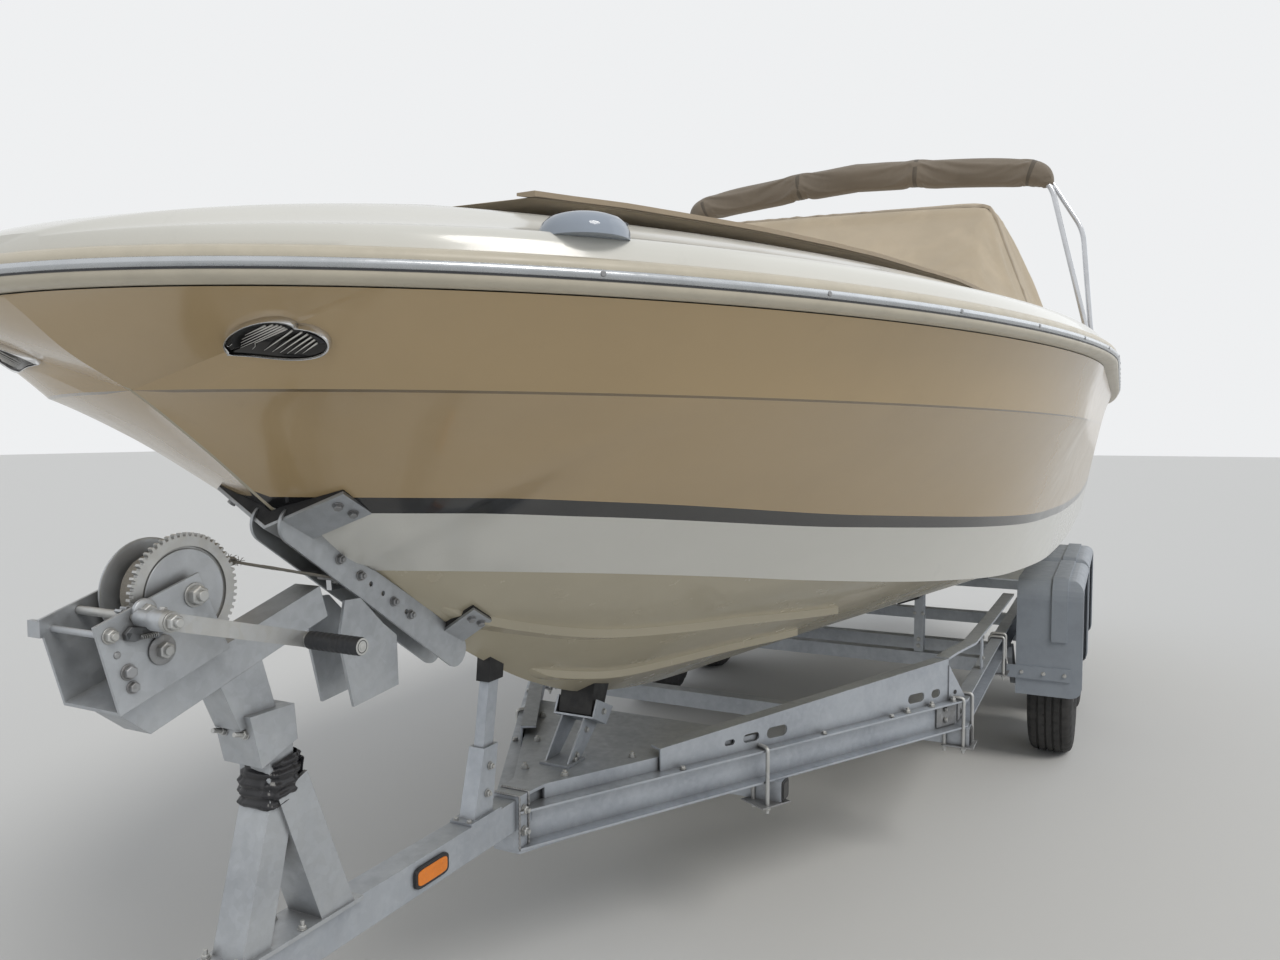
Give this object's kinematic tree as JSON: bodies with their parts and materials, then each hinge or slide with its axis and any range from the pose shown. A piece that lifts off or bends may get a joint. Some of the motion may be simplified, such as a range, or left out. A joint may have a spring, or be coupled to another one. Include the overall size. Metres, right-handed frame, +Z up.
{
  "type": "speedboat on trailer",
  "caption": "Bowrider speedboat with a sterndrive, canvas covers and a furled bimini, standing on its tandem-axle braked trailer with winch and bow stop.",
  "frame": {"origin": "on the ground under the middle of the outfit, coupling to propeller", "axes": "+X to the bow, +Y to port, +Z up"},
  "size_m": [8.212, 2.59, 2.958],
  "materials": {
    "hull_gelcoat": "gloss",
    "white_gelcoat": "gloss",
    "rail_stainless": "polished",
    "tan_canvas": "matte",
    "boot_canvas": "matte",
    "stainless": "polished",
    "lamp_chrome": "polished",
    "engine_iron": "satin",
    "drive_paint": "gloss",
    "galvanised_steel": "matte",
    "zinc_plate": "satin",
    "black_rubber": "matte",
    "bunk_carpet": "matte",
    "strap_webbing": "matte",
    "grey_guard": "satin",
    "coupling_casting": "satin",
    "board_plastic": "satin",
    "red_lens": "gloss",
    "amber_lens": "gloss",
    "tyre_rubber": "matte",
    "rim_steel": "satin"
  },
  "bodies": {
    "root": {"axles": "galvanised_steel", "bimini_mounts": "stainless", "bow_cover": "tan_canvas", "bow_stop_beams": "galvanised_steel", "bow_stop_pads": "black_rubber", "bunk_posts": "galvanised_steel", "bunks": "bunk_carpet", "cockpit_cover": "tan_canvas", "coupling_head": "coupling_casting", "cross_beam_1": "galvanised_steel", "cross_beam_2": "galvanised_steel", "cross_beam_3": "galvanised_steel", "cross_beam_4": "galvanised_steel", "deck_cleats": "stainless", "deck_moulding": "white_gelcoat", "docking_lights": "lamp_chrome", "drawbar": "galvanised_steel", "engine_block": "engine_iron", "gimbal_housing": "drive_paint", "hull_eyes": "stainless", "hull_shell": "hull_gelcoat", "jockey_clamp": "galvanised_steel", "junction_gusset": "galvanised_steel", "keel_blocks": "black_rubber", "keel_brackets": "galvanised_steel", "light_board": "board_plastic", "mudguard_port": "grey_guard", "mudguard_starboard": "grey_guard", "rub_rail": "rail_stainless", "side_plate_port": "galvanised_steel", "side_plate_starboard": "galvanised_steel", "side_rail_port": "galvanised_steel", "side_rail_starboard": "galvanised_steel", "side_reflectors": "amber_lens", "swim_platform": "white_gelcoat", "tail_lamps": "red_lens", "winch_arm": "galvanised_steel", "winch_frame": "galvanised_steel", "winch_post": "galvanised_steel", "winch_strap": "strap_webbing"},
    "wheel_port_1": {"tyre_port_1": "tyre_rubber", "wheel_port_1": "rim_steel"},
    "wheel_port_2": {"tyre_port_2": "tyre_rubber", "wheel_port_2": "rim_steel"},
    "wheel_starboard_1": {"tyre_starboard_1": "tyre_rubber", "wheel_starboard_1": "rim_steel"},
    "wheel_starboard_2": {"tyre_starboard_2": "tyre_rubber", "wheel_starboard_2": "rim_steel"},
    "jockey_leg": {"jockey_leg": "galvanised_steel"},
    "jockey_fork": {"jockey_fork": "galvanised_steel"},
    "jockey_wheel": {"jockey_wheel": "black_rubber"},
    "winch_drum": {"winch_drum": "zinc_plate", "strap_roll": "strap_webbing"},
    "winch_crank": {"winch_crank": "zinc_plate"},
    "bimini": {"bimini_main_bow": "stainless", "bimini_second_bow": "stainless", "bimini_boot": "boot_canvas"},
    "drive_steer": {"gimbal_ring": "drive_paint"},
    "drive_tilt": {"drive_leg": "drive_paint"},
    "propeller": {"propeller": "stainless"}
  },
  "joints": [
    {"name": "wheel_port_1_spin", "type": "hinge", "parent": "root", "child": "wheel_port_1", "pos_m": [-1.194, 1.04, 0.325], "axis": [0, 1, 0], "continuous": true},
    {"name": "wheel_port_2_spin", "type": "hinge", "parent": "root", "child": "wheel_port_2", "pos_m": [-1.994, 1.04, 0.325], "axis": [0, 1, 0], "continuous": true},
    {"name": "wheel_starboard_1_spin", "type": "hinge", "parent": "root", "child": "wheel_starboard_1", "pos_m": [-1.194, -1.04, 0.325], "axis": [0, 1, 0], "continuous": true},
    {"name": "wheel_starboard_2_spin", "type": "hinge", "parent": "root", "child": "wheel_starboard_2", "pos_m": [-1.994, -1.04, 0.325], "axis": [0, 1, 0], "continuous": true},
    {"name": "jockey_slide", "type": "slide", "parent": "root", "child": "jockey_leg", "axis": [0, 0, 1], "range_m": [-0.04, 0.18]},
    {"name": "jockey_castor", "type": "hinge", "parent": "jockey_leg", "child": "jockey_fork", "pos_m": [3.506, 0.078, 0.22], "axis": [0, 0, 1], "continuous": true},
    {"name": "jockey_wheel_spin", "type": "hinge", "parent": "jockey_fork", "child": "jockey_wheel", "pos_m": [3.472, 0.078, 0.1], "axis": [0, 1, 0], "continuous": true},
    {"name": "crank_turn", "type": "hinge", "parent": "root", "child": "winch_crank", "pos_m": [2.859, 0, 1.257], "axis": [0, 1, 0], "continuous": true},
    {"name": "drum_turn", "type": "hinge", "parent": "root", "child": "winch_drum", "pos_m": [2.7595, 0, 1.27312], "axis": [0, 1, 0], "continuous": true},
    {"name": "bimini_fold", "type": "hinge", "parent": "root", "child": "bimini", "pos_m": [-1.464, 0, 1.868], "axis": [0, -1, 0], "range_deg": [-25, 65]},
    {"name": "drive_steering", "type": "hinge", "parent": "root", "child": "drive_steer", "pos_m": [-3.614, 0, 1.02], "axis": [0, 0, 1], "range_deg": [-28, 28]},
    {"name": "drive_tilting", "type": "hinge", "parent": "drive_steer", "child": "drive_tilt", "pos_m": [-3.614, 0, 1.02], "axis": [0, 1, 0], "range_deg": [0, 45]},
    {"name": "propeller_spin", "type": "hinge", "parent": "drive_tilt", "child": "propeller", "pos_m": [-4.046, 0, 0.475], "axis": [1, 0, 0], "continuous": true}
  ],
  "couplings": [
    {"joint": "drum_turn", "follows": "crank_turn", "ratio": -0.125}
  ]
}
